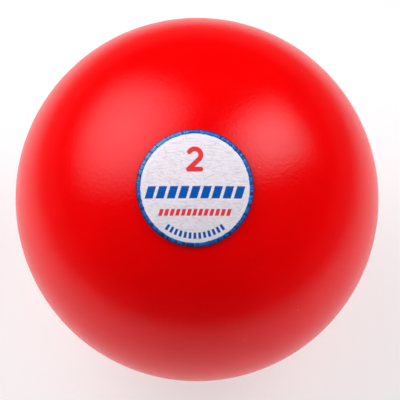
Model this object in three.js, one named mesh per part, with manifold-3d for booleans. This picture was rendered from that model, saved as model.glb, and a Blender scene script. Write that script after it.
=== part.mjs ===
// A soft indoor shot put: a moulded flexible ball, filled with heavy granules through a neck that a barbed
// plug closes, with a round edge-stitched label glued on. Millimetres, +Z up, standing on Z = 0.
import * as THREE from 'three';
import { mergeVertices } from 'three/addons/utils/BufferGeometryUtils.js';
import Module from 'manifold-3d';

// Ball
const ballDiameter = 120;
const shellWall = 5;
const restPatchDiameter = 18; // where the soft ball lies flat on the floor
const labelElevation = 66; // degrees above the floor that the label faces, towards -Y

// Filling neck and plug, on the side away from the label
const fillHoleDiameter = 10;
const neckWall = 6; // round the hole, inside the ball
const neckHeight = 4; // above the deepest point of the cavity
const neckRound = 1.5; // on the neck's inner rim
const plugHeadOverlap = 4; // of the head over the edge of the hole
const plugHeadThickness = 2.5;
const plugBarb = 1.2; // overhang behind the neck
const plugBarbLand = 0.8;
const plugTipDiameter = 6;
const plugTipLength = 3.5;
const plugDimpleDiameter = 3;
const plugDimpleDepth = 0.5;
const plugClearance = 0.1;

// Filling
const headspace = 16; // air above the level granules
const fillingClearance = 0.3;

// Label, measured over the curve of the ball
const labelDiameter = 36.7; // over its stitched edge
const labelThickness = 0.7;
const edgeWidth = 1.35;
const edgeHeight = 1.3;
const adhesiveThickness = 0.2;
const adhesiveMargin = 1; // from the adhesive's rim to the label's
const layerGap = 0.1; // between the layers of the label, and under them

// Facets
const roundSegments = 48;
const ringStep = THREE.MathUtils.degToRad(7.5);
const beadSegments = 8;
const cornerSegments = 3;

const ballRadius = ballDiameter / 2;
const cavityRadius = ballRadius - shellWall;
const centreHeight = Math.sqrt(ballRadius ** 2 - (restPatchDiameter / 2) ** 2);

// The plug and its neck lie on the ball's -Z axis before the ball is turned
const holeRadius = fillHoleDiameter / 2;
const neckRadius = holeRadius + neckWall;
const seatRadius = holeRadius + plugHeadOverlap;
const seatLevel = -(ballRadius - plugHeadThickness);
const neckLevel = -(cavityRadius - neckHeight);
const barbRadius = holeRadius + plugBarb;
const barbLevel = neckLevel + plugClearance;
const tipLevel = barbLevel + plugBarbLand + plugTipLength;

const wasm = await Module();
wasm.setup();

// The ball's own frame: the label faces its +Z, and it is turned and lifted to stand on the floor
const ball = new THREE.Group();
ball.rotation.x = THREE.MathUtils.degToRad(90 - labelElevation);
ball.position.z = centreHeight;
ball.updateMatrixWorld(true);
const worldToBall = ball.matrixWorld.clone().invert();

// A point of a profile: its distance from the axis and its height on the axis
const point = (radius, level) => new THREE.Vector2(radius, level);

// A point at an angle from the label's axis, on a sphere round the ball's centre
const polar = (radius, angle) => point(radius * Math.sin(angle), radius * Math.cos(angle));

// The angle from the label's axis to a point on a sphere that is `across` from the plug's axis
const angleAtPlug = (radius, across) => Math.PI - Math.asin(across / radius);

// An arc of a sphere's meridian, cut at whole ring steps so that nested arcs share their rings
function meridian(radius, from, to) {
  const low = Math.min(from, to);
  const high = Math.max(from, to);
  const margin = ringStep / 5;
  const rings = [];
  for (let ring = ringStep; ring < high - margin; ring += ringStep) {
    if (ring > low + margin) rings.push(ring);
  }
  const angles = [low, ...rings, high];
  if (from > to) angles.reverse();
  return angles.map((angle) => polar(radius, angle));
}

// A quarter-round corner of a profile
function roundCorner(centre, radius, from, to) {
  const points = [];
  for (let i = 0; i <= cornerSegments; i += 1) {
    const angle = THREE.MathUtils.lerp(from, to, i / cornerSegments);
    points.push(point(centre.x + radius * Math.cos(angle), centre.y + radius * Math.sin(angle)));
  }
  return points;
}

// Revolves a profile about Z
function revolve(profile) {
  const geometry = new THREE.LatheGeometry(profile, roundSegments);
  geometry.rotateX(Math.PI / 2);
  return geometry;
}

// A level slab of space, in the ball's own frame
function slab(bottom, top) {
  const geometry = new THREE.BoxGeometry(2 * ballDiameter, 2 * ballDiameter, top - bottom);
  geometry.translate(0, 0, (bottom + top) / 2);
  return geometry.applyMatrix4(worldToBall);
}

function solidOf(geometry) {
  const bare = geometry.clone();
  bare.deleteAttribute('normal');
  bare.deleteAttribute('uv');
  const merged = mergeVertices(bare);
  const vertProperties = merged.attributes.position.array;
  const triVerts = merged.index.array;
  return new wasm.Manifold(new wasm.Mesh({ numProp: 3, vertProperties, triVerts }));
}

function geometryOf(solid) {
  const mesh = solid.getMesh();
  const geometry = new THREE.BufferGeometry();
  geometry.setAttribute('position', new THREE.BufferAttribute(mesh.vertProperties, 3));
  geometry.setIndex(new THREE.BufferAttribute(mesh.triVerts, 1));
  geometry.computeVertexNormals();
  return geometry;
}

// The flexible skin, open at the filling neck and flat where it stands
function shell() {
  const neckCorner = point(neckRadius - neckRound, neckLevel - neckRound);
  const profile = [
    ...meridian(cavityRadius, 0, angleAtPlug(cavityRadius, neckRadius)),
    ...roundCorner(neckCorner, neckRound, 0, Math.PI / 2),
    point(holeRadius, neckLevel),
    point(holeRadius, seatLevel),
    point(seatRadius, seatLevel),
    ...meridian(ballRadius, angleAtPlug(ballRadius, seatRadius), 0),
  ];
  const floor = slab(-ballRadius, 0);
  return geometryOf(solidOf(revolve(profile)).subtract(solidOf(floor)));
}

// The stopper: its head is flush with the ball, and its barb holds behind the neck
function fillerPlug() {
  const dimpleRadius = plugDimpleDiameter / 2;
  const headRadius = seatRadius - plugClearance;
  const headLevel = seatLevel - plugClearance;
  const shankRadius = holeRadius - plugClearance;
  const dimpleEdge = angleAtPlug(ballRadius, dimpleRadius);
  const headEdge = angleAtPlug(ballRadius, headRadius);
  return revolve([
    point(0, plugDimpleDepth - ballRadius),
    point(dimpleRadius, plugDimpleDepth - ballRadius),
    ...meridian(ballRadius, dimpleEdge, headEdge),
    point(headRadius, headLevel),
    point(shankRadius, headLevel),
    point(shankRadius, barbLevel),
    point(barbRadius, barbLevel),
    point(barbRadius, barbLevel + plugBarbLand),
    point(plugTipDiameter / 2, tipLevel),
    point(0, tipLevel),
  ]);
}

// The granules: they fill the cavity round the neck up to a level top
function granuleFilling() {
  const lump = solidOf(revolve(meridian(cavityRadius - fillingClearance, Math.PI, 0)));
  const neckRoom = solidOf(revolve([
    point(0, -ballRadius),
    point(neckRadius + fillingClearance, -ballRadius),
    point(neckRadius + fillingClearance, neckLevel + fillingClearance),
    point(barbRadius + fillingClearance, neckLevel + fillingClearance),
    point(barbRadius + fillingClearance, tipLevel + fillingClearance),
    point(0, tipLevel + fillingClearance),
  ]));
  const fillLevel = centreHeight + cavityRadius - headspace;
  const air = solidOf(slab(fillLevel, fillLevel + ballDiameter));
  return geometryOf(lump.subtract(neckRoom).subtract(air));
}

// A layer of the label: a round of sheet that follows the ball
function layer(halfWidth, bottom, thickness) {
  const rim = halfWidth / ballRadius;
  const underside = meridian(ballRadius + bottom, 0, rim);
  const upperSide = meridian(ballRadius + bottom + thickness, rim, 0);
  return revolve([...underside, ...upperSide]);
}

// The thread bead round the label's rim, flat below and arched above
function labelEdge() {
  const middle = (labelDiameter - edgeWidth) / 2;
  const section = [];
  for (let i = 0; i <= beadSegments; i += 1) {
    const angle = Math.PI * i / beadSegments;
    const along = middle + edgeWidth / 2 * Math.cos(angle);
    section.push(polar(ballRadius + layerGap + edgeHeight * Math.sin(angle), along / ballRadius));
  }
  section.push(section[0].clone());
  return revolve(section);
}

function part(name, geometry, color, roughness) {
  const mesh = new THREE.Mesh(geometry, new THREE.MeshStandardMaterial({ color, roughness, metalness: 0 }));
  mesh.name = name;
  return mesh;
}

const labelHalfWidth = labelDiameter / 2 - edgeWidth - layerGap;
const labelBottom = 2 * layerGap + adhesiveThickness;
const adhesiveHalfWidth = labelHalfWidth - adhesiveMargin;

ball.add(
  part('shell', shell(), 0xcc0008, 0.38),
  part('filler_plug', fillerPlug(), 0xb80010, 0.45),
  part('granule_filling', granuleFilling(), 0x5a534c, 0.85),
  part('label', layer(labelHalfWidth, labelBottom, labelThickness), 0xe9e4ec, 0.55),
  part('label_edge', labelEdge(), 0x1f5fb4, 0.6),
  part('label_adhesive', layer(adhesiveHalfWidth, layerGap, adhesiveThickness), 0xd8d2c0, 0.5),
);

const shotPut = new THREE.Group();
shotPut.name = 'shot_put';
shotPut.add(ball);

export default shotPut;
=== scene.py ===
import math
import random

import bmesh
import bpy
from mathutils import Matrix, Quaternion, Vector, noise


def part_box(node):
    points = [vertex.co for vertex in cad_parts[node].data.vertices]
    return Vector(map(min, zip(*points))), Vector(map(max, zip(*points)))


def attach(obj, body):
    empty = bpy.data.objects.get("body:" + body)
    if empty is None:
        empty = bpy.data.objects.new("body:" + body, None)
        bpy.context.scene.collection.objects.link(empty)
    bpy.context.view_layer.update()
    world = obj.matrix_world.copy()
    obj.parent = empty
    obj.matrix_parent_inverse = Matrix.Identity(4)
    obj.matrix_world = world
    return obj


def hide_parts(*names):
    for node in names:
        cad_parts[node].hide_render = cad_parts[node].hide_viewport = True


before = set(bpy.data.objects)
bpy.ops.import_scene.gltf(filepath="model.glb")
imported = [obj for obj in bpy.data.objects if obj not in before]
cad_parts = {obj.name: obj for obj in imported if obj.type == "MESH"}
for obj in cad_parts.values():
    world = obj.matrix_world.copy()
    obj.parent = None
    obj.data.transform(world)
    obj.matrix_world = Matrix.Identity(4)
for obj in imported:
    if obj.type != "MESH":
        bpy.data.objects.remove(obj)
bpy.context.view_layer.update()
print("frame:", ", ".join(sorted(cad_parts)))

mm = 0.001
onSurface = 0.01  # millimetres within which a point counts as on a surface
softRim = ((0, 1), (0.12, 0.42), (0.45, 0.12))  # a moulded edge's round, in shares of its size
white = (1, 1, 1, 1)
black = (0, 0, 0, 1)

# The ball's own frame: centre at the origin, label facing +Z, X across the label, in millimetres
ball = {
    "labelFaces": 66,  # degrees above the floor, towards -Y
    "wall": 5,
    "restPatch": 18,  # across the flat that it stands on
}
shellLow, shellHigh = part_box("shell")
ballRadius = (shellHigh.x - shellLow.x) / 2 / mm
cavityRadius = ballRadius - ball["wall"]
tilt = math.radians(90 - ball["labelFaces"])
ballCentre = Vector((0, 0, math.sqrt(ballRadius ** 2 - (ball["restPatch"] / 2) ** 2) * mm))
place = Matrix.Translation(ballCentre) @ Matrix.Rotation(tilt, 4, "X") @ Matrix.Scale(mm, 4)


class Wire:  # a socket of a node tree, with maths on it
    def __init__(self, tree, socket=None):
        self.tree = tree
        self.socket = socket

    def node(self, kind, settings, inputs, output=0):
        made = self.tree.nodes.new("ShaderNode" + kind)
        for name, value in settings.items():
            setattr(made, name, value)
        for name, value in inputs.items():
            if isinstance(value, Wire):
                self.tree.links.new(value.socket, made.inputs[name])
            else:
                made.inputs[name].default_value = value
        return Wire(self.tree, made.outputs[output] if made.outputs else None)

    def out(self, name):  # another output of the same node
        return Wire(self.tree, self.socket.node.outputs[name])

    def maths(self, operation, *values):
        return self.node("Math", {"operation": operation}, dict(enumerate(values)))

    def __add__(self, other):
        return self.maths("ADD", self, other)

    __radd__ = __add__

    def __sub__(self, other):
        return self.maths("SUBTRACT", self, other)

    def __rsub__(self, other):
        return self.maths("SUBTRACT", other, self)

    def __mul__(self, other):
        return self.maths("MULTIPLY", self, other)

    __rmul__ = __mul__

    def __truediv__(self, other):
        return self.maths("DIVIDE", self, other)

    def __rtruediv__(self, other):
        return self.maths("DIVIDE", other, self)

    def __abs__(self):
        return self.maths("ABSOLUTE", self)

    def least(self, other):
        return self.maths("MINIMUM", self, other)

    def most(self, other):
        return self.maths("MAXIMUM", self, other)

    def ease(self, start, end, low=0, high=1):  # a smooth step from low to high
        sockets = {"Value": self, "From Min": start, "From Max": end, "To Min": low, "To Max": high}
        return self.node("MapRange", {"interpolation_type": "SMOOTHSTEP"}, sockets)

    def blend(self, first, second):  # this value mixes two colours
        return self.node("Mix", {"data_type": "RGBA"}, {0: self, 6: first, 7: second}, 2)

    def length(self, other):  # of the vector with these two values as its sides
        return self.maths("SQRT", self * self + other * other)


def startMaterial(name):
    material = bpy.data.materials.new(name)
    material.use_nodes = True
    material.node_tree.nodes.clear()
    return material, Wire(material.node_tree)


def finishMaterial(flow, shader):
    flow.node("OutputMaterial", {}, {"Surface": shader})


def ballSpot(flow):  # where a point lies in the ball's own frame
    spot = flow.node("TexCoord", {}, {}, "Object")
    move = {"Vector": spot, "Location": ballCentre, "Rotation": (tilt, 0, 0), "Scale": (mm, mm, mm)}
    return flow.node("Mapping", {"vector_type": "TEXTURE"}, move)


def scaled(spot, factors):
    return spot.node("VectorMath", {"operation": "MULTIPLY"}, {0: spot, 1: factors})


def cloud(spot, scale, detail=2, roughness=0.5):  # noise about 0.5
    sockets = {"Vector": spot, "Scale": scale, "Detail": detail, "Roughness": roughness}
    return spot.node("TexNoise", {}, sockets)


def polar(radius, degrees):  # a profile point on a sphere, at an angle from the label's axis
    angle = math.radians(degrees)
    return radius * math.sin(angle), radius * math.cos(angle)


def arcAngles(start, end, step):
    count = max(2, round(abs(end - start) / step))
    return [start + (end - start) * i / count for i in range(count + 1)]


def angleAtPlug(radius, across):
    return 180 - math.degrees(math.asin(across / radius))


def revolve(profile, segments, closed=False):
    points = []
    rings = []
    for radius, level in profile:
        count = segments if radius > 1e-6 else 1
        rings.append(range(len(points), len(points) + count))
        for step in range(count):
            turn = 2 * math.pi * step / segments
            points.append((radius * math.cos(turn), radius * math.sin(turn), level))
    pairs = list(zip(rings, rings[1:]))
    if closed:
        pairs.append((rings[-1], rings[0]))
    faces = []
    for lower, upper in pairs:
        for step in range(segments):
            after = (step + 1) % segments
            corners = [lower[step % len(lower)], lower[after % len(lower)]]
            corners += [upper[after % len(upper)], upper[step % len(upper)]]
            faces.append(list(dict.fromkeys(corners)))  # at the axis a face is a triangle
    return points, faces


def addPiece(name, points, faces, material, sharp):
    mesh = bpy.data.meshes.new(name)
    mesh.from_pydata(points, [], faces)
    shape = bmesh.new()
    shape.from_mesh(mesh)
    bmesh.ops.recalc_face_normals(shape, faces=shape.faces)
    shape.to_mesh(mesh)
    shape.free()
    mesh.shade_smooth()
    mesh.set_sharp_from_angle(angle=math.radians(sharp))
    mesh.materials.append(material)
    piece = bpy.data.objects.new(name, mesh)
    bpy.context.scene.collection.objects.link(piece)
    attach(piece, "root")
    print(f"{name}: {len(mesh.vertices)} points, {len(mesh.polygons)} faces")
    return piece


# Camera, at the photograph's angle and framing
view = {
    "azimuth": 1.37,  # degrees to the right of -Y
    "elevation": 62.6,
    "distance": 0.9,
    "lens": 244.6,
    "sensor": 36,
    "aimRight": 0.99,  # millimetres from the ball's centre
    "aimDown": 0.21,
}


def lookFrom(azimuth, elevation):  # the direction towards something, azimuth 0 on -Y and 90 on +X
    turn = math.radians(azimuth)
    rise = math.radians(elevation)
    return Vector((math.sin(turn) * math.cos(rise), -math.cos(turn) * math.cos(rise), math.sin(rise)))


def addCamera():
    camera = bpy.data.objects.new("camera", bpy.data.cameras.new("camera"))
    bpy.context.scene.collection.objects.link(camera)
    back = lookFrom(view["azimuth"], view["elevation"])
    turn = back.to_track_quat("Z", "Y")
    aim = turn @ Vector((view["aimRight"] * mm, -view["aimDown"] * mm, 0))
    camera.location = ballCentre + aim + back * view["distance"]
    camera.rotation_mode = "QUATERNION"
    camera.rotation_quaternion = turn
    camera.data.sensor_width = view["sensor"]
    camera.data.lens = view["lens"]
    bpy.context.scene.camera = camera


addCamera()
print("camera set")

# Studio: a large softbox on each side behind the ball, soft fills and a dim room
softboxes = {  # brightest at the heart, fading to their edges
    "leftBox": {"azimuth": 244, "elevation": 44, "distance": 0.9,
                "size": (1.5, 1.4), "watts": 29, "roll": 0},
    "rightBox": {"azimuth": 113, "elevation": 45, "distance": 0.9,
                 "size": (0.78, 1.12), "watts": 15.6, "roll": 23},
}
fills = {  # from beyond the floor's rim; these light the colour of things and leave no highlight
    "fillBack": {"azimuth": 180, "elevation": 25, "distance": 2, "size": (1.8, 1), "watts": 9.3},
    "fillFront": {"azimuth": 0, "elevation": 4, "distance": 2, "size": (2.4, 0.5), "watts": 11},
    "fillLeft": {"azimuth": 280, "elevation": 10, "distance": 2, "size": (1.8, 1), "watts": 11.4},
    "fillRight": {"azimuth": 80, "elevation": 10, "distance": 2, "size": (1.8, 1), "watts": 14.8},
}
room = {"grey": 0.02}
floor = {
    "radius": 1.2,
    "segments": 96,
    "drop": 0.0002,  # just under the ball
    "near": (0.93, 0.935, 0.97, 1),
    "far": (0.11, 0.11, 0.11, 1),
    "fade": (0.1, 0.31),  # metres from the ball
    "glow": 0.55,  # share of plain white that the camera and reflections see
}


def softenEdges(light):
    light.use_nodes = True
    light.node_tree.nodes.clear()
    flow = Wire(light.node_tree)
    across = flow.node("SeparateXYZ", {}, {0: flow.node("NewGeometry", {}, {}, "Parametric")})
    up = across.out("Y")
    fade = across * (1 - across) * up * (1 - up) * 16  # 1 at the middle, 0 at the edges
    shine = flow.node("Emission", {}, {"Color": (fade * fade).blend(black, white)})
    flow.node("OutputLight", {}, {"Surface": shine})


def addLamp(name, lamp):
    light = bpy.data.lights.new(name, "AREA")
    light.shape = "RECTANGLE"
    light.size, light.size_y = lamp["size"]
    light.energy = lamp["watts"]
    towards = lookFrom(lamp["azimuth"], lamp["elevation"])
    box = bpy.data.objects.new(name, light)
    box.location = ballCentre + towards * lamp["distance"]
    box.rotation_mode = "QUATERNION"
    box.rotation_quaternion = towards.to_track_quat("Z", "Y")
    bpy.context.scene.collection.objects.link(box)
    return box


def floorMaterial():
    material, flow = startMaterial("paleFloor")
    spot = flow.node("SeparateXYZ", {}, {0: flow.node("TexCoord", {}, {}, "Object")})
    away = spot.length(spot.out("Y"))
    colour = away.ease(*floor["fade"]).blend(floor["near"], floor["far"])
    matt = flow.node("BsdfDiffuse", {}, {"Color": colour})
    glow = flow.node("Emission", {}, {"Color": white, "Strength": 1})
    path = flow.node("LightPath", {}, {}, "Is Camera Ray")
    seen = path.most(path.out("Is Glossy Ray")).most(path.out("Is Transmission Ray"))
    share = seen * away.ease(*floor["fade"], floor["glow"], 0)
    finishMaterial(flow, flow.node("MixShader", {}, {0: share, 1: matt, 2: glow}))
    return material


def addFloor():
    shape = bmesh.new()
    bmesh.ops.create_circle(shape, cap_ends=True, segments=floor["segments"], radius=floor["radius"])
    mesh = bpy.data.meshes.new("floor")
    shape.to_mesh(mesh)
    shape.free()
    mesh.materials.append(floorMaterial())
    sheet = bpy.data.objects.new("floor", mesh)
    sheet.location.z = -floor["drop"]
    bpy.context.scene.collection.objects.link(sheet)


def setRoom():
    world = bpy.data.worlds.new("room")
    world.use_nodes = True
    backdrop = world.node_tree.nodes["Background"]
    backdrop.inputs["Color"].default_value = (room["grey"], room["grey"], room["grey"], 1)
    bpy.context.scene.world = world
    bpy.context.scene.view_settings.view_transform = "Standard"


for lampName, lampValues in softboxes.items():
    softbox = addLamp(lampName, lampValues)
    softbox.rotation_quaternion @= Quaternion((0, 0, 1), math.radians(lampValues["roll"]))
    softenEdges(softbox.data)
for lampName, lampValues in fills.items():
    fill = addLamp(lampName, lampValues)
    fill.visible_glossy = False
    fill.data.cycles.use_multiple_importance_sampling = False
addFloor()
setRoom()
print("studio set")

# Moulded skin, with the neck and seat of its filling hole
skin = {
    "red": (0.93, 0.0004, 0.0012, 1),
    "deepRed": (0.90, 0.0003, 0.001, 1),
    "speckRed": (0.85, 0.16, 0.13, 1),
    "mottle": 0.09,  # patches per mm; handling and grain are measured the same way
    "handling": 0.22,
    "grain": 0.9,
    "grainDepth": 0.05,
    "speckCells": 0.3,  # per mm, of which those above the share hold a speck
    "speckShare": (0.93, 0.95),
    "speckSize": (0.045, 0.075),
    "gloss": 0.285,
    "glossTint": (0.95, 0.9, 1, 1),
    "grazing": 0.32,  # share of its gloss that is lost towards the rim
    "roughness": 0.2,
    "roughnessSpread": 0.02,
    "segments": 240,
    "ringStep": 1.5,  # degrees
    "innerStep": 5,
    "unevenness": 0.05,  # of the moulding
    "broadWave": 22,
    "smallWave": 9,
    "smallShare": 0.4,
    "partingHeight": 0.09,  # flash line of the mould, round the middle
    "partingWidth": 0.3,
    "patchRound": 0.4,
}
neck = {
    "hole": 5,
    "outside": 11,
    "level": -51,
    "round": 1.5,
    "roundStep": 18,  # degrees
    "seat": 9,
    "seatLevel": -57.5,
    "rim": 0.4,
}


def skinMaterial():
    material, flow = startMaterial("softRedVinyl")
    spot = ballSpot(flow)
    mottle = cloud(spot, skin["mottle"], 3).ease(0.35, 0.65)
    colour = mottle.blend(skin["deepRed"], skin["red"])
    cells = flow.node("TexVoronoi", {}, {"Vector": spot, "Scale": skin["speckCells"]}, "Distance")
    kept = flow.node("SeparateColor", {}, {0: cells.out("Color")}).ease(*skin["speckShare"])
    speck = kept * cells.ease(*skin["speckSize"], 1, 0)
    colour = speck.blend(colour, skin["speckRed"])
    handling = cloud(spot, skin["handling"], 5, 0.62).ease(0.3, 0.7, -1, 1)
    roughness = handling * skin["roughnessSpread"] + skin["roughness"]
    grain = cloud(spot, skin["grain"], 1) + speck
    bump = flow.node("Bump", {}, {"Strength": 1, "Distance": skin["grainDepth"] * mm, "Height": grain})
    sockets = {"Base Color": colour, "Roughness": roughness, "Normal": bump}
    matt = flow.node("BsdfPrincipled", {}, {**sockets, "Specular IOR Level": 0})
    sockets.update({"Specular IOR Level": skin["gloss"], "Specular Tint": skin["glossTint"]})
    shiny = flow.node("BsdfPrincipled", {}, sockets)
    lost = flow.node("LayerWeight", {}, {"Blend": 0.5}, "Facing") * skin["grazing"]
    finishMaterial(flow, flow.node("MixShader", {}, {0: lost, 1: shiny, 2: matt}))
    return material


def skinProfile():
    corner = neck["outside"] - neck["round"], neck["level"] - neck["round"]
    rim = neck["rim"]
    wallEnd = -math.sqrt(ballRadius ** 2 - neck["seat"] ** 2)
    innerEnd = angleAtPlug(cavityRadius, neck["outside"])
    profile = [polar(cavityRadius, a) for a in arcAngles(0, innerEnd, skin["innerStep"])]
    for a in arcAngles(0, 90, neck["roundStep"]):
        turn = math.radians(a)
        across = corner[0] + neck["round"] * math.cos(turn)
        profile.append((across, corner[1] + neck["round"] * math.sin(turn)))
    profile += [(neck["hole"] + rim, neck["level"]), (neck["hole"], neck["level"] - rim)]
    profile += [(neck["hole"], neck["seatLevel"]), (neck["seat"], neck["seatLevel"])]
    profile += [(neck["seat"] + rim * out, wallEnd + rim * up) for out, up in softRim]
    outerEnd = angleAtPlug(ballRadius, neck["seat"] + rim)
    angles = arcAngles(outerEnd, 0, skin["ringStep"])
    spread = math.degrees(skin["partingWidth"] / ballRadius)
    angles += [90 + spread * i / 3 for i in range(-6, 7)]  # closer rings across the flash line
    return profile + [polar(ballRadius, a) for a in sorted(angles, reverse=True)]


def mouldSkin(point):  # the moulding's unevenness, flash line and flat
    spot = Vector(point)
    if spot.length > ballRadius - onSurface:
        small = noise.noise(spot / skin["smallWave"] + Vector((5, 1, 3)))
        wave = noise.noise(spot / skin["broadWave"]) + skin["smallShare"] * small
        flash = math.exp(-(spot.z / skin["partingWidth"]) ** 2)
        spot *= 1 + (wave * skin["unevenness"] + flash * skin["partingHeight"]) / ballRadius
    spot = place @ spot
    blend = skin["patchRound"] * mm
    if spot.z < blend:
        spot.z = max(0, spot.z + blend) ** 2 / (4 * blend) if spot.z > -blend else 0
    return spot


skinPoints, skinFaces = revolve(skinProfile(), skin["segments"])
ballSkin = addPiece("ballSkin", [mouldSkin(p) for p in skinPoints], skinFaces, skinMaterial(), sharp=50)
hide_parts("shell")

# Filler plug, pushed into the neck from outside
plug = {
    "red": (0.55, 0.001, 0.004, 1),
    "dullRed": (0.47, 0.001, 0.004, 1),
    "mottle": 0.4,  # patches per mm; handling and grain are measured the same way
    "handling": 0.9,
    "grain": 1.8,
    "grainDepth": 0.02,
    "roughness": 0.46,
    "roughnessSpread": 0.05,
    "segments": 96,
    "head": 8.9,
    "headLevel": -57.6,
    "headStep": 0.7,  # degrees
    "rim": 0.4,
    "shank": 4.9,
    "barb": 6.2,
    "barbLevel": -50.9,
    "barbLand": 0.8,
    "barbRound": 0.2,
    "tip": 3,
    "tipLength": 3.5,
    "tipCorner": ((0.2, 0.25), (-0.3, 0)),  # out from the tip's side and back from its end
    "dimple": 1.5,
    "dimpleDepth": 0.5,
    "dimpleBowl": ((0, 0), (0.6, 0), (0.85, 0.08), (1, 0.3)),  # share of its width, rise from its floor
    "dimpleLip": 0.25,
}


def plugMaterial():
    material, flow = startMaterial("plugVinyl")
    spot = ballSpot(flow)
    colour = cloud(spot, plug["mottle"], 3).ease(0.35, 0.65).blend(plug["dullRed"], plug["red"])
    spread = plug["roughnessSpread"]
    roughness = cloud(spot, plug["handling"], 4).ease(0.3, 0.7, -spread, spread) + plug["roughness"]
    grain = cloud(spot, plug["grain"], 2)
    bump = flow.node("Bump", {}, {"Strength": 0.5, "Distance": plug["grainDepth"] * mm, "Height": grain})
    sockets = {"Base Color": colour, "Roughness": roughness, "IOR": 1.5, "Normal": bump}
    finishMaterial(flow, flow.node("BsdfPrincipled", {}, sockets))
    return material


def plugProfile():
    rim, head, barb = plug["rim"], plug["head"], plug["barb"]
    floorLevel = plug["dimpleDepth"] - ballRadius
    headEdge = -math.sqrt(ballRadius ** 2 - head ** 2)
    landEnd = plug["barbLevel"] + plug["barbLand"]
    tipEnd = landEnd + plug["tipLength"]
    profile = [(plug["dimple"] * share, floorLevel - rise) for share, rise in plug["dimpleBowl"]]
    faceStart = angleAtPlug(ballRadius, plug["dimple"] + plug["dimpleLip"])
    faceEnd = angleAtPlug(ballRadius, head - rim)
    profile += [polar(ballRadius, a) for a in arcAngles(faceStart, faceEnd, plug["headStep"])]
    profile += [(head - rim * out, headEdge + rim * up) for out, up in reversed(softRim)]
    profile += [(head, plug["headLevel"]), (plug["shank"], plug["headLevel"])]
    profile += [(plug["shank"], plug["barbLevel"]), (barb - plug["barbRound"], plug["barbLevel"])]
    profile += [(barb, plug["barbLevel"] + plug["barbRound"]), (barb, landEnd)]
    profile += [(plug["tip"] + out, tipEnd - back) for out, back in plug["tipCorner"]]
    return profile + [(0, tipEnd)]


plugPoints, plugFaces = revolve(plugProfile(), plug["segments"])
plugPlaced = [place @ Vector(p) for p in plugPoints]
fillPlug = addPiece("fillPlug", plugPlaced, plugFaces, plugMaterial(), sharp=50)
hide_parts("filler_plug")

# Granules: sand and iron grains that fill the ball up to a level top
granules = {
    "voxel": 1.3,
    "lump": 3.2,  # across a clump of grains
    "depth": 0.9,
    "sink": 0.25,  # of all grains, so that none stands proud
    "grain": 1.3,  # grains per mm
    "grainDepth": 0.3,
    "ironShare": (0.52, 0.56),
    "sand": (0.36, 0.26, 0.15, 1),
    "iron": (0.05, 0.05, 0.055, 1),
    "dust": (0.2, 0.16, 0.11, 1),
    "roughness": (0.9, 0.5),  # of sand and of iron
}


def granuleMaterial():
    material, flow = startMaterial("sandAndIron")
    spot = ballSpot(flow)
    grains = flow.node("TexVoronoi", {}, {"Vector": spot, "Scale": granules["grain"]}, "Distance")
    pick = flow.node("SeparateColor", {}, {0: grains.out("Color")})
    colour = pick.ease(*granules["ironShare"]).blend(granules["sand"], granules["iron"])
    colour = grains.ease(0.35, 0.7).blend(colour, granules["dust"])
    roughness = pick.ease(*granules["ironShare"], *granules["roughness"])
    depth = granules["grainDepth"] * mm
    bump = flow.node("Bump", {}, {"Strength": 0.9, "Distance": depth, "Height": 1 - grains})
    sockets = {"Base Color": colour, "Roughness": roughness, "Normal": bump}
    finishMaterial(flow, flow.node("BsdfPrincipled", {}, sockets))
    return material


def granuleShape():
    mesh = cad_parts["granule_filling"].data.copy()
    mesh.materials.clear()
    shape = bmesh.new()
    shape.from_mesh(mesh)
    bmesh.ops.remove_doubles(shape, verts=shape.verts, dist=1e-6)
    shape.to_mesh(mesh)
    shape.free()
    pile = bpy.data.objects.new("pile", mesh)
    bpy.context.scene.collection.objects.link(pile)
    remesh = pile.modifiers.new("even", "REMESH")
    remesh.mode = "VOXEL"
    remesh.voxel_size = granules["voxel"] * mm
    even = bpy.data.meshes.new_from_object(pile.evaluated_get(bpy.context.evaluated_depsgraph_get()))
    bpy.data.objects.remove(pile)
    points = []
    for vertex in even.vertices:
        near = noise.voronoi(vertex.co / (granules["lump"] * mm))[0][0]
        sunk = (granules["sink"] + granules["depth"] * min(1, near)) * mm
        points.append(vertex.co - vertex.normal * sunk)
    return points, [list(face.vertices) for face in even.polygons]


granulePile = addPiece("granulePile", *granuleShape(), granuleMaterial(), sharp=180)
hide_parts("granule_filling")

# Label: a round of coated cloth that follows the ball, with a plain generic print
label = {
    "half": 16.98,  # over the curve
    "under": 0.4,  # above the ball
    "top": 1.1,
    "rimDip": 0.16,  # where the thread pulls it down
    "rimWidth": 1.6,
    "segments": 288,
    "rings": 84,
    "underRings": 12,
    "creaseDepth": 0.06,
    "broadFold": {"across": 0.16, "up": 0.5, "width": 0.13},  # folds per mm
    "slantFold": {"across": 0.3, "up": 0.42, "width": 0.1, "slant": 0.4, "share": 0.7},
    "wave": {"scale": 0.3, "height": 0.02},
    "creaseNet": (0.25, 1.1, 0.25),  # creases per mm; they run more across the label than up it
    "creaseWidth": 0.14,
    "creaseFade": 0.5,  # faint patches per mm
    "creaseDrift": 0.5,  # how far the net strays
    "driftScale": 0.9,
    "creaseShade": 0.44,
    "poreStretch": (1.3, 2.4, 1.3),
    "poreShade": 0.2,
    "poreDepth": 0.35,  # as a share of the creases' depth
    "soil": 0.16,  # patches per mm
    "soilShade": 0.3,
    "bumpDepth": 0.06,
    "margin": (15.4, 16.6),  # painted light: paler towards the rim, beside the stitched edge
    "white": (0.94, 0.88, 0.955, 1),
    # the darkest colour: painted shade in creases and pores, and soil
    "shadeAndSoilColour": (0.62, 0.545, 0.64, 1),
    "gloss": 0.15,
    "roughness": 0.52,
    "roughnessSpread": 0.08,  # rougher with the soil patches, smoother where printed
}
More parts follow.
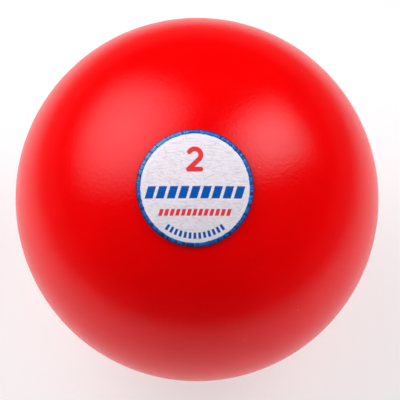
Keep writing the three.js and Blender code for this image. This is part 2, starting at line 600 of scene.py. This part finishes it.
printed = {
    "turn": 1.2,  # degrees that the label was put on askew
    "red": (0.84, 0.045, 0.055, 1),
    "blue": (0.0005, 0.1, 0.46, 1),
    "numeral": {"at": (-0.08, 8.9), "width": 5.36, "height": 7.9, "stroke": 1.55},
    "stripe": {"level": -1.4, "height": 3.8, "bar": 2.5, "pitch": 3.45, "reach": 15.5, "slant": 0.3},
    "dashes": {"level": -7.6, "height": 2.1, "bar": 1.15, "pitch": 1.75, "reach": 11.3, "slant": 0.3},
    "ticks": {"radius": 14.8, "length": 1.9, "bar": 0.85, "step": 5.8, "reach": 38},  # degrees
    "softness": 0.09,
}


def strokeLine(u, v, start, end):  # distance from a straight stroke's middle line
    run = end[0] - start[0]
    rise = end[1] - start[1]
    along = ((u - start[0]) * run + (v - start[1]) * rise) / (run * run + rise * rise)
    along = along.most(0).least(1)
    return (u - start[0] - along * run).length(v - start[1] - along * rise)


def strokeArc(u, v, centre, radius, middle, half):  # distance from an arc's middle line, angles in degrees
    x = u - centre[0]
    y = v - centre[1]
    turn = math.radians(middle)
    ahead = x * math.cos(turn) + y * math.sin(turn)
    aside = y * math.cos(turn) - x * math.sin(turn)
    angle = abs(aside.maths("ARCTAN2", aside, ahead))
    within = angle.maths("LESS_THAN", angle, math.radians(half))
    tip = math.radians(middle + half)
    toTip = (x - radius * math.cos(tip)).length(y - radius * math.sin(tip))
    return within * abs(x.length(y) - radius) + (1 - within) * toTip


def numeralTwo(u, v):
    size = printed["numeral"]
    left, right = -(size["width"] - size["stroke"]) / 2, (size["width"] - size["stroke"]) / 2
    base = -(size["height"] - size["stroke"]) / 2
    bowl = 0, -base - right
    turnEnd = -49.5  # where the bowl runs straight on into the diagonal
    bowlStart = 148
    join = right * math.cos(math.radians(turnEnd)), bowl[1] + right * math.sin(math.radians(turnEnd))
    u = u - size["at"][0]
    v = v - size["at"][1]
    arc = strokeArc(u, v, bowl, right, (bowlStart + turnEnd) / 2, (bowlStart - turnEnd) / 2)
    strokes = arc.least(strokeLine(u, v, join, (left, base)))
    strokes = strokes.least(strokeLine(u, v, (left, base), (right, base)))
    return strokes - size["stroke"] / 2


def barRow(u, v, row):  # a row of slanted bars
    across = u - (v - row["level"]) * row["slant"]
    cell = across.maths("FRACT", across / row["pitch"] + 0.5) - 0.5
    bar = abs(cell) * row["pitch"] - row["bar"] / 2
    height = abs(v - row["level"]) - row["height"] / 2
    return bar.most(height).most(abs(across) - row["reach"])


def tickArc(u, v):  # short marks along the lower rim
    row = printed["ticks"]
    angle = u.maths("ARCTAN2", u, 0 - v) * (180 / math.pi)
    cell = angle.maths("FRACT", angle / row["step"] + 0.5) - 0.5
    bar = abs(cell) * (row["step"] * math.pi / 180 * row["radius"]) - row["bar"] / 2
    length = abs(u.length(v) - row["radius"]) - row["length"] / 2
    return bar.most(length).most((abs(angle) - row["reach"]) * 0.2)  # degrees to about millimetres


def creaseNet(spot):  # fine creases of the coating, 1 in their middle
    drift = cloud(spot, label["driftScale"], 2).out("Color")
    reach = (label["creaseDrift"],) * 3
    strayed = spot.node("VectorMath", {"operation": "MULTIPLY_ADD"}, {0: drift, 1: reach, 2: spot})
    sockets = {"Vector": scaled(strayed, label["creaseNet"]), "Scale": 1}
    net = spot.node("TexVoronoi", {"feature": "DISTANCE_TO_EDGE"}, sockets)
    strength = cloud(spot, label["creaseFade"], 2).ease(0.35, 0.65, 0.2, 1)
    return net.ease(0, label["creaseWidth"], 1, 0) * strength


def labelMaterial():
    material, flow = startMaterial("printedCoatedCloth")
    spot = ballSpot(flow)
    sides = flow.node("SeparateXYZ", {}, {0: spot})
    askew = math.radians(printed["turn"])
    u = sides * math.cos(askew) + sides.out("Y") * math.sin(askew)
    v = sides.out("Y") * math.cos(askew) - sides * math.sin(askew)
    creases = creaseNet(spot)
    pores = cloud(scaled(spot, label["poreStretch"]), 1, 2).ease(0.35, 0.65)
    soil = cloud(spot, label["soil"], 4, 0.6).ease(0.42, 0.75)
    # painted light: the creases' shade and the soil fade towards the rim, beside the stitched edge
    paintedRimLight = sides.length(sides.out("Y")).ease(*label["margin"], 1, 0.4)
    # painted shade in the creases and pores, and real soil patches, darken the label's colour
    shadeAndSoil = creases * label["creaseShade"] + pores * label["poreShade"]
    shadeAndSoil = shadeAndSoil.most(soil * label["soilShade"]) * paintedRimLight
    colour = shadeAndSoil.blend(label["white"], label["shadeAndSoilColour"])
    soft = printed["softness"]
    redInk = numeralTwo(u, v).least(barRow(u, v, printed["dashes"])).ease(-soft, soft, 1, 0)
    blueInk = barRow(u, v, printed["stripe"]).least(tickArc(u, v)).ease(-soft, soft, 1, 0)
    colour = redInk.blend(colour, printed["red"])
    colour = blueInk.blend(colour, printed["blue"])
    spread = label["roughnessSpread"]
    roughness = label["roughness"] + soil * spread - redInk.most(blueInk) * spread
    height = pores * -label["poreDepth"] - creases
    bump = flow.node("Bump", {}, {"Strength": 0.9, "Distance": label["bumpDepth"] * mm, "Height": height})
    sockets = {"Base Color": colour, "Roughness": roughness, "Normal": bump}
    sockets["Specular IOR Level"] = label["gloss"]
    finishMaterial(flow, flow.node("BsdfPrincipled", {}, sockets))
    return material


def creaseDepth(u, v):
    broad, slant, wave = label["broadFold"], label["slantFold"], label["wave"]
    along, aside = u + v * slant["slant"], v - u * slant["slant"]
    fold = noise.noise(Vector((u * broad["across"], v * broad["up"], 3.1)))
    slanted = noise.noise(Vector((along * slant["across"], aside * slant["up"], 8.7)))
    depth = max(0, 1 - abs(fold) / broad["width"])
    depth += slant["share"] * max(0, 1 - abs(slanted) / slant["width"])
    swell = noise.noise(Vector((u * wave["scale"], v * wave["scale"], 1.7)))
    return depth * label["creaseDepth"] + wave["height"] * swell


def labelPoint(point):
    spot = Vector(point)
    across = math.hypot(spot.x, spot.y)
    height = spot.length - ballRadius
    if height > label["top"] - onSurface:
        rim = max(0, (across - label["half"] + label["rimWidth"]) / label["rimWidth"])
        sunk = creaseDepth(spot.x, spot.y) * (1 - rim) + label["rimDip"] * rim ** 2
        spot *= 1 - sunk / spot.length
    return place @ spot


def labelProfile():
    reach = math.degrees(label["half"] / ballRadius)
    low, high = ballRadius + label["under"], ballRadius + label["top"]
    under = [polar(low, reach * i / label["underRings"]) for i in range(label["underRings"] + 1)]
    return under + [polar(high, reach * i / label["rings"]) for i in range(label["rings"], -1, -1)]


labelPoints, labelFaces = revolve(labelProfile(), label["segments"])
labelPlaced = [labelPoint(p) for p in labelPoints]
labelPatch = addPiece("labelPatch", labelPlaced, labelFaces, labelMaterial(), sharp=40)
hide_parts("label")

# Stitched edge: thread wrapped over the label's rim in small groups, round a packed core
edge = {
    "groups": 50,
    "inGroup": (2, 4),  # stitches
    "gap": 0.22,  # between groups, as a share of a stitch
    "gapSpread": (0.2, 1.8),
    "widthSpread": (0.88, 1.12),
    "lift": (-0.05, 0.02),
    "inset": (-0.2, 0.2),  # of a stitch's inner end
    "seed": 11,
    "strand": (0.175, 0.12),  # half the width and thickness of one of a stitch's two strands
    "strandSides": 8,
    "apart": 0.205,  # how far a strand lies from its stitch's middle, as a share of the stitch
    "slant": 0.5,  # of a stitch's width, from inner to outer end
    "path": [(17.04, 0.72), (17.07, 0.98), (17.2, 1.13), (17.45, 1.19), (17.74, 1.13)],
    "fall": [(18.04, 0.98), (18.29, 0.75), (18.43, 0.48), (18.46, 0.23)],
    "core": {"middle": 17.66, "half": 0.54, "low": 0.14, "height": 0.72, "step": 18},
    "coreSegments": 288,
    "tones": (0.35, 0.6, 0.75, 0.9, 1),  # of whole stitches
    "strandTone": (0.85, 1),
    "footShadeTone": 0.2,  # painted shade: the tone at a strand's foot, down beside the ball
    "dark": (17.75, 18.15, 1),  # painted shade: the outer side darkens from here to here, by this share
    "blue": (0.0005, 0.18, 0.72, 1),
    # painted glints: pale flecks on the highest, brightest strands
    "glintBlue": (0.05, 0.43, 0.92, 1),
    # painted shade: the core seen in the gaps and the strands' shaded ends; darker stitches at random lean
    # to it too
    "darkAndShadeBlue": (0.001, 0.013, 0.065, 1),
    "sheenBlue": (0.13, 0.43, 0.8, 1),
    "paintedSheen": (17, 26, 0, 0.85),  # painted sheen: paler from here to here towards the label's upper left
    "lowerShade": (-16, 6, 0.6, 1),  # painted shade: darker towards its lower side
    "fibre": 5,  # fibres per mm
    "fibreDepth": 0.03,
    "gloss": 0.35,
    "roughness": 0.28,
    "roughnessSpread": 0.08,
}


def onBall(along, height, turn):  # a point by its way over the curve, its height and its turn
    radius = ballRadius + height
    angle = along / ballRadius
    across = radius * math.sin(angle)
    return Vector((across * math.cos(turn), across * math.sin(turn), radius * math.cos(angle)))


def addTube(points, faces, line, width, thickness, sides):
    first = len(points)
    for i, spot in enumerate(line):
        ahead = (line[min(i + 1, len(line) - 1)] - line[max(i - 1, 0)]).normalized()
        aside = Vector((-spot.y, spot.x, 0)).normalized()
        aside = (aside - ahead * aside.dot(ahead)).normalized()
        up = ahead.cross(aside)
        for side in range(sides):
            turn = 2 * math.pi * side / sides
            points.append(spot + aside * (width * math.cos(turn)) + up * (thickness * math.sin(turn)))
    for i in range(len(line) - 1):
        for side in range(sides):
            after = (side + 1) % sides
            start = first + i * sides
            faces.append([start + side, start + after, start + sides + after, start + sides + side])
    last = first + (len(line) - 1) * sides
    faces.append([first + side for side in range(sides)])
    faces.append([last + side for side in range(sides)])


def threadMaterial():
    material, flow = startMaterial("blueThread")
    spot = ballSpot(flow)
    sides = flow.node("SeparateXYZ", {}, {0: spot})
    # painted shade, darker towards the label's lower side
    lowerShade = sides.out("Y").ease(*edge["lowerShade"])
    # painted sheen of the left softbox on the thread, towards the label's upper left
    paintedSheen = (sides.out("Y") - sides).ease(*edge["paintedSheen"])
    tone = flow.node("Attribute", {"attribute_name": "tone"}, {}, "Fac") * lowerShade
    fibre = cloud(spot, edge["fibre"], 3)
    colour = tone.ease(0, 0.75).blend(edge["darkAndShadeBlue"], edge["blue"])
    colour = (tone.ease(0.7, 1) * fibre.ease(0.4, 0.7, 0.3, 1)).blend(colour, edge["glintBlue"])
    colour = (paintedSheen * tone.ease(0.1, 0.5)).blend(colour, edge["sheenBlue"])
    spread = edge["roughnessSpread"]
    roughness = edge["roughness"] + fibre.ease(0.3, 0.7, -spread, spread)
    bump = flow.node("Bump", {}, {"Strength": 0.5, "Distance": edge["fibreDepth"] * mm, "Height": fibre})
    sockets = {"Base Color": colour, "Roughness": roughness, "Normal": bump}
    sockets["Specular IOR Level"] = edge["gloss"]
    finishMaterial(flow, flow.node("BsdfPrincipled", {}, sockets))
    return material


def stitchTurns(chance):  # where each stitch lies round the label, and how wide it is
    places = []
    reach = 0
    for group in range(edge["groups"]):
        for stitch in range(chance.randint(*edge["inGroup"])):
            width = chance.uniform(*edge["widthSpread"])
            places.append((reach + width / 2, width))
            reach += width
        reach += edge["gap"] * chance.uniform(*edge["gapSpread"])
    unit = 2 * math.pi / reach
    return [(middle * unit, width * unit) for middle, width in places]


def addStitches(points, faces, tones):
    chance = random.Random(edge["seed"])
    path = edge["path"] + edge["fall"]
    for turn, width in stitchTurns(chance):
        lift = chance.uniform(*edge["lift"])
        inset = chance.uniform(*edge["inset"])
        light = chance.choice(edge["tones"])
        for side in (-1, 1):
            line = []
            for step, (along, height) in enumerate(path):
                share = step / (len(path) - 1)
                lean = width * (edge["slant"] * (share - 0.5) + edge["apart"] * side)
                reach = along + inset * (1 - share) ** 2
                line.append(onBall(reach, height + lift * min(1, height), turn + lean))
            addTube(points, faces, line, *edge["strand"], edge["strandSides"])
            strandLight = light * chance.uniform(*edge["strandTone"])
            darkFrom, darkTo, darkShare = edge["dark"]
            # each point's tone: random per stitch and strand, with painted shade on the outer side and at
            # the foot
            for along, height in path:
                outer = min(1, max(0, along - darkFrom) / (darkTo - darkFrom))
                footShade = min(1, edge["footShadeTone"] + (1 - edge["footShadeTone"]) * height)
                tones += [strandLight * footShade * (1 - darkShare * outer)] * edge["strandSides"]


def coreProfile():
    core = edge["core"]
    profile = []
    for a in arcAngles(0, 180, core["step"]):
        turn = math.radians(a)
        along = core["middle"] + core["half"] * math.cos(turn)
        radius = ballRadius + core["low"] + core["height"] * math.sin(turn)
        profile.append(polar(radius, math.degrees(along / ballRadius)))
    return profile


edgePoints, edgeFaces = revolve(coreProfile(), edge["coreSegments"], closed=True)
# the core's tone of 0 paints it as the shade in the gaps between stitches
edgeTones = [0.0] * len(edgePoints)
addStitches(edgePoints, edgeFaces, edgeTones)
edgePlaced = [place @ Vector(p) for p in edgePoints]
stitchedEdge = addPiece("stitchedEdge", edgePlaced, edgeFaces, threadMaterial(), sharp=60)
edgeTone = stitchedEdge.data.attributes.new("tone", "FLOAT", "POINT")
edgeTone.data.foreach_set("value", edgeTones)
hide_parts("label_edge")

# Adhesive film under the label, as the CAD has it
glue = {
    "milky": (0.66, 0.6, 0.48, 1),
    "clear": (0.5, 0.42, 0.3, 1),
    "streaks": 0.5,  # per mm
    "streakStretch": (0.2, 1, 1),
    "streakDepth": 0.03,
    "roughness": 0.35,
    "roughnessSpread": (-0.08, 0.1),
}


def glueMaterial():
    material, flow = startMaterial("adhesiveFilm")
    spot = ballSpot(flow)
    streaks = cloud(scaled(spot, glue["streakStretch"]), glue["streaks"], 4, 0.6)
    colour = streaks.ease(0.35, 0.7).blend(glue["milky"], glue["clear"])
    roughness = streaks.ease(0.3, 0.7, *glue["roughnessSpread"]) + glue["roughness"]
    depth = glue["streakDepth"] * mm
    bump = flow.node("Bump", {}, {"Strength": 0.4, "Distance": depth, "Height": streaks})
    sockets = {"Base Color": colour, "Roughness": roughness, "Normal": bump}
    finishMaterial(flow, flow.node("BsdfPrincipled", {}, sockets))
    return material


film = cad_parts["label_adhesive"]
film.data.materials.clear()
film.data.materials.append(glueMaterial())
print("adhesive film dressed")
